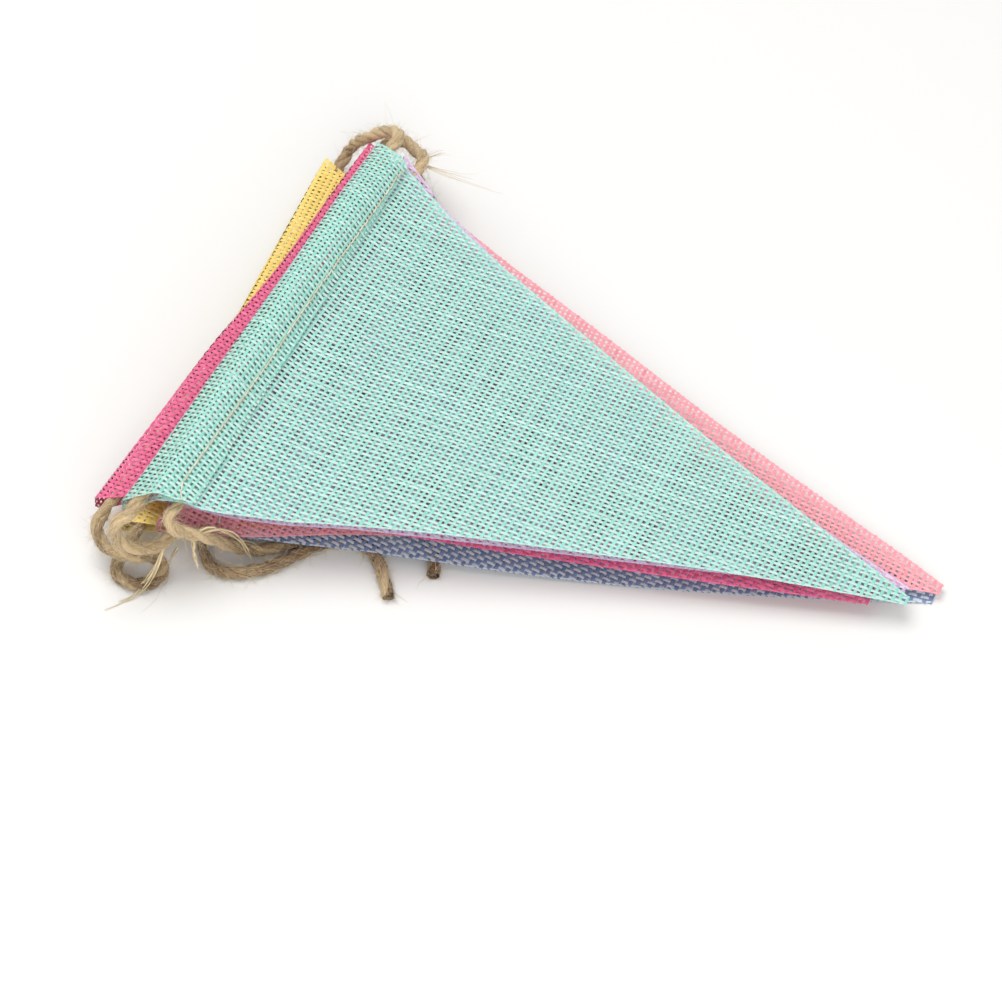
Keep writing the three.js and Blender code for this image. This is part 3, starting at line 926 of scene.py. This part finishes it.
def streak_group():
    """Shader group: fine streaks along a yarn from its own UV map, shifted by its tone.

    Noise is stretched along the yarn, once coarse and once fine. Shade is the tone and the streaks as
    one value from 0 to 1, and Height is the fine streaks for a bump.
    """
    group = bpy.data.node_groups.new("Yarn streaks", "ShaderNodeTree")
    for name, value in (("Along", 6.0), ("Across", 5.0), ("Tone share", 0.18), ("Streak share", 0.6)):
        socket = group.interface.new_socket(name, in_out="INPUT", socket_type="NodeSocketFloat")
        socket.default_value = value
    group.interface.new_socket("Shade", in_out="OUTPUT", socket_type="NodeSocketFloat")
    group.interface.new_socket("Height", in_out="OUTPUT", socket_type="NodeSocketFloat")
    nodes, links = group.nodes, group.links
    inputs = nodes.new("NodeGroupInput")
    outputs = nodes.new("NodeGroupOutput")
    uv = nodes.new("ShaderNodeUVMap")
    uv.uv_map = "yarn"
    split = nodes.new("ShaderNodeSeparateXYZ")
    links.new(uv.outputs["UV"], split.inputs[0])
    joint = nodes.new("ShaderNodeCombineXYZ")
    for axis, name in (("X", "Along"), ("Y", "Across")):
        scaled = math_node(group, "MULTIPLY", split.outputs[axis], inputs.outputs[name])
        links.new(scaled, joint.inputs[axis])
    noise = nodes.new("ShaderNodeTexNoise")
    noise.inputs["Scale"].default_value = 1.0
    noise.inputs["Detail"].default_value = 3.0
    noise.inputs["Roughness"].default_value = 0.65
    links.new(joint.outputs[0], noise.inputs["Vector"])
    tone = nodes.new("ShaderNodeAttribute")
    tone.attribute_name = "tone"
    tone_part = math_node(group, "MULTIPLY", tone.outputs["Fac"], inputs.outputs["Tone share"])
    centred = math_node(group, "SUBTRACT", noise.outputs["Fac"], 0.5)
    streak = math_node(group, "MULTIPLY_ADD", centred, inputs.outputs["Streak share"], tone_part)
    shade = math_node(group, "ADD", streak, 0.5)
    shade.node.use_clamp = True
    links.new(shade, outputs.inputs["Shade"])
    links.new(noise.outputs["Fac"], outputs.inputs["Height"])
    return group


def mixed_material(name, first, second, roughness, specular):
    """A material with a base colour between two colours, and its shader and the node that mixes them."""
    material = bpy.data.materials.new(name)
    material.use_nodes = True
    tree = material.node_tree
    shader = tree.nodes["Principled BSDF"]
    shader.inputs["Roughness"].default_value = roughness
    shader.inputs["Specular IOR Level"].default_value = specular
    mix = tree.nodes.new("ShaderNodeMix")
    mix.data_type = "RGBA"
    mix.inputs["A"].default_value = (*first, 1)
    mix.inputs["B"].default_value = (*second, 1)
    tree.links.new(mix.outputs["Result"], shader.inputs["Base Color"])
    return material, shader, mix


def yarn_material(name, dark, light, streaks, roughness, sheen, values):
    """A fibre finish: streaks run between two colours and raise a fine bump."""
    material, shader, mix = mixed_material(name, dark, light, roughness, specular=0.35)
    nodes, links = material.node_tree.nodes, material.node_tree.links
    shader.inputs["Sheen Weight"].default_value = sheen
    shader.inputs["Sheen Roughness"].default_value = 0.5
    group = nodes.new("ShaderNodeGroup")
    group.node_tree = streaks
    for key, value in values.items():
        group.inputs[key].default_value = value
    links.new(group.outputs["Shade"], mix.inputs["Factor"])
    bump = nodes.new("ShaderNodeBump")
    bump.inputs["Strength"].default_value = 0.35
    bump.inputs["Distance"].default_value = 0.0002
    links.new(group.outputs["Height"], bump.inputs["Height"])
    links.new(bump.outputs["Normal"], shader.inputs["Normal"])
    return material


def shaded(tint, darker, lighter):
    """A colour made darker and lighter: the first multiplied, the second moved towards white."""
    tint = np.array(tint)
    return tuple(tint * darker), tuple(tint + (1 - tint) * lighter)


class BUNTING_OT_stage(bpy.types.Operator):
    """Make the floor, the soft light and the camera"""

    bl_idname = "bunting.stage"
    bl_label = "Stage"

    def execute(self, context):
        look = context.scene.bunting_stage
        colours = context.scene.bunting_colours
        right = np.array([math.cos(look.azimuth), math.sin(look.azimuth), 0])
        ahead = np.array([-math.sin(look.azimuth), math.cos(look.azimuth), 0])
        up = np.array([0, 0, 1])
        sight = ahead * math.cos(look.elevation) - up * math.sin(look.elevation)
        aim = right * look.right + ahead * look.forward - MIDDLE * MM
        camera = bpy.data.objects.new("camera", bpy.data.cameras.new("camera"))
        camera.data.lens = look.lens
        camera.data.sensor_width = FILM
        camera.data.clip_end = 20
        camera.location = aim - sight * look.distance
        camera.rotation_euler = (math.pi / 2 - look.elevation, 0, look.azimuth)
        context.scene.collection.objects.link(camera)
        context.scene.camera = camera
        side = np.linspace(-FLOOR_HALF, FLOOR_HALF, FLOOR_POINTS) / MM
        x, y = np.meshgrid(side, side, indexing="ij")
        points = np.stack([x, y, np.zeros_like(x)], -1).reshape(-1, 3)
        faces = grid_faces(FLOOR_POINTS, FLOOR_POINTS).reshape(-1, 4)
        floor = mesh_object("floor", points, faces[:, ::-1])
        floor.data.materials.append(self.floor_material(colours.floor))
        for name, power, lamp in (("key light", look.key, KEY), ("fill light", look.fill, FILL)):
            place = aim + ahead * lamp.ahead + right * lamp.right + up * lamp.up
            self.light(context, name, power, lamp.size, place, aim)
        world = bpy.data.worlds.new("even white light")
        world.use_nodes = True
        world.node_tree.nodes["Background"].inputs["Color"].default_value = (1, 1, 1, 1)
        world.node_tree.nodes["Background"].inputs["Strength"].default_value = look.sky
        context.scene.world = world
        context.scene.view_settings.view_transform = "Standard"
        return {"FINISHED"}

    def floor_material(self, tint):
        """A matt finish of one colour, very slightly clouded by noise"""
        shade = [FLOOR_SHADE * part for part in tint]
        material, _, mix = mixed_material("pale floor", shade, tint, roughness=0.85, specular=0.2)
        nodes, links = material.node_tree.nodes, material.node_tree.links
        place = nodes.new("ShaderNodeTexCoord")
        noise = nodes.new("ShaderNodeTexNoise")
        noise.inputs["Scale"].default_value = 3.0
        links.new(place.outputs["Object"], noise.inputs["Vector"])
        links.new(noise.outputs["Fac"], mix.inputs["Factor"])
        return material

    def light(self, context, name, power, size, place, aim):
        """A round light at a place, turned to face the aim"""
        data = bpy.data.lights.new(name, "AREA")
        data.energy = power
        data.shape = "DISK"
        data.size = size
        lamp = bpy.data.objects.new(name, data)
        lamp.location = place
        away = np.array(place) - aim
        lamp.rotation_euler = (
            math.atan2(math.hypot(away[0], away[1]), away[2]),
            0,
            math.atan2(away[1], away[0]) + math.pi / 2,
        )
        context.scene.collection.objects.link(lamp)


class BUNTING_OT_twine(bpy.types.Operator):
    """Make the laid twine and its loose fibres"""

    bl_idname = "bunting.twine"
    bl_label = "Twine"

    def execute(self, context):
        sizes = context.scene.bunting_sizes
        colours = context.scene.bunting_colours
        rng = np.random.default_rng(SEED)
        path, run = smooth_path(twine_route(), TWINE_STEP)
        diameter = sizes.twine_diameter / MM
        twine = mesh_object("twine_laid", *laid_twine(path, run, diameter, sizes.twine_lay / MM, rng))
        streaks = bpy.data.node_groups.get("Yarn streaks") or streak_group()
        dark, light = colours.twine_dark, colours.twine_light
        # The tone carries painted shade where the twine lies low and painted light where it lies high
        values = {"Along": 9.0, "Across": 22.0, "Tone share": 0.2, "Streak share": 2.2}
        look = yarn_material("jute twine", dark, light, streaks, roughness=0.85, sheen=0.3, values=values)
        twine.data.materials.append(look)
        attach(twine, "root")
        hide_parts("twine")
        free = np.flatnonzero(freed(path) > 0.5)
        starts = rng.choice(free, sizes.fibres)
        lengths = rng.gamma(FIBRE_SHAPE, size=sizes.fibres) + LEAST_FIBRE
        loose = loose_fibres(path, starts, lengths, sizes.fibre / MM, rng)
        fibres = mesh_object("twine_fibres", *joined(loose, *[tuft_fibres(tuft, rng) for tuft in TUFTS]))
        values = {"Tone share": 0.22, "Streak share": 0.0}
        pair = shaded(colours.fibre, darker=0.62, lighter=0.15)
        look = yarn_material("jute fibres", *pair, streaks, roughness=0.7, sheen=0.2, values=values)
        fibres.data.materials.append(look)
        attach(fibres, "root")
        return {"FINISHED"}


class BUNTING_OT_pennants(bpy.types.Operator):
    """Weave the six pennants and sew their hems"""

    bl_idname = "bunting.pennants"
    bl_label = "Pennants"

    def execute(self, context):
        sizes = context.scene.bunting_sizes
        colours = context.scene.bunting_colours
        streaks = bpy.data.node_groups.get("Yarn streaks") or streak_group()
        values = {"Along": 5.0, "Across": 7.0, "Tone share": 0.16, "Streak share": 0.7}
        pair = shaded(colours.thread, darker=0.7, lighter=0.3)
        thread_look = yarn_material(
            "sewing thread", *pair, streaks, roughness=0.6, sheen=0.2, values={"Along": 20.0}
        )
        for number, pennant in enumerate(PENNANTS):
            rng = np.random.default_rng(SEED + 1 + number)
            long_yarns, cross_yarns = woven_cloth(pennant, sizes, rng)
            parts = joined(long_yarns, cross_yarns)
            split = len(long_yarns[1])
            cloth = mesh_object(pennant.name + "_weave", *used_only(*parts))
            for run in YARN_RUNS:
                name = pennant.name + " " + run + "wise yarn"
                # The lengthwise tint is paler, partly a painted highlight on the yarns that catch the light
                tint = getattr(colours, pennant.name + "_" + run)
                pair = shaded(tint, darker=0.74, lighter=0.12)
                look = yarn_material(name, *pair, streaks, roughness=0.62, sheen=0.25, values=values)
                cloth.data.materials.append(look)
            index = (np.arange(len(parts[1])) >= split).astype(np.int32)
            cloth.data.polygons.foreach_set("material_index", index)
            stitches = mesh_object(pennant.name + "_stitches", *sewn_line(pennant, sizes, rng))
            stitches.data.materials.append(thread_look)
            for piece in (cloth, stitches):
                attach(piece, "root")
            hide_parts("pennant_" + pennant.name)
        return {"FINISHED"}


class BUNTING_PT_panel(bpy.types.Panel):
    """Lists the steps and the sizes"""

    bl_idname = "BUNTING_PT_panel"
    bl_label = "Bunting"
    bl_space_type = "VIEW_3D"
    bl_region_type = "UI"
    bl_category = "Bunting"

    def draw(self, context):
        for step in STEPS:
            self.layout.operator(step.bl_idname)
        for name in GROUPS:
            group = getattr(context.scene, name)
            box = self.layout.box()
            for key in group.__annotations__:
                box.prop(group, key)


GROUPS = {
    "bunting_sizes": BuntingSizes,
    "bunting_colours": BuntingColours,
    "bunting_stage": BuntingStage,
}
STEPS = [BUNTING_OT_stage, BUNTING_OT_twine, BUNTING_OT_pennants]


def register():
    for item in (*GROUPS.values(), *STEPS, BUNTING_PT_panel):
        bpy.utils.register_class(item)
    for name, group in GROUPS.items():
        setattr(bpy.types.Scene, name, bpy.props.PointerProperty(type=group))


def unregister():
    for name in GROUPS:
        delattr(bpy.types.Scene, name)
    for item in (BUNTING_PT_panel, *STEPS[::-1], *GROUPS.values()):
        bpy.utils.unregister_class(item)


def main():
    register()
    bpy.ops.bunting.stage()
    bpy.ops.bunting.twine()
    bpy.ops.bunting.pennants()


if __name__ == "__main__":
    main()
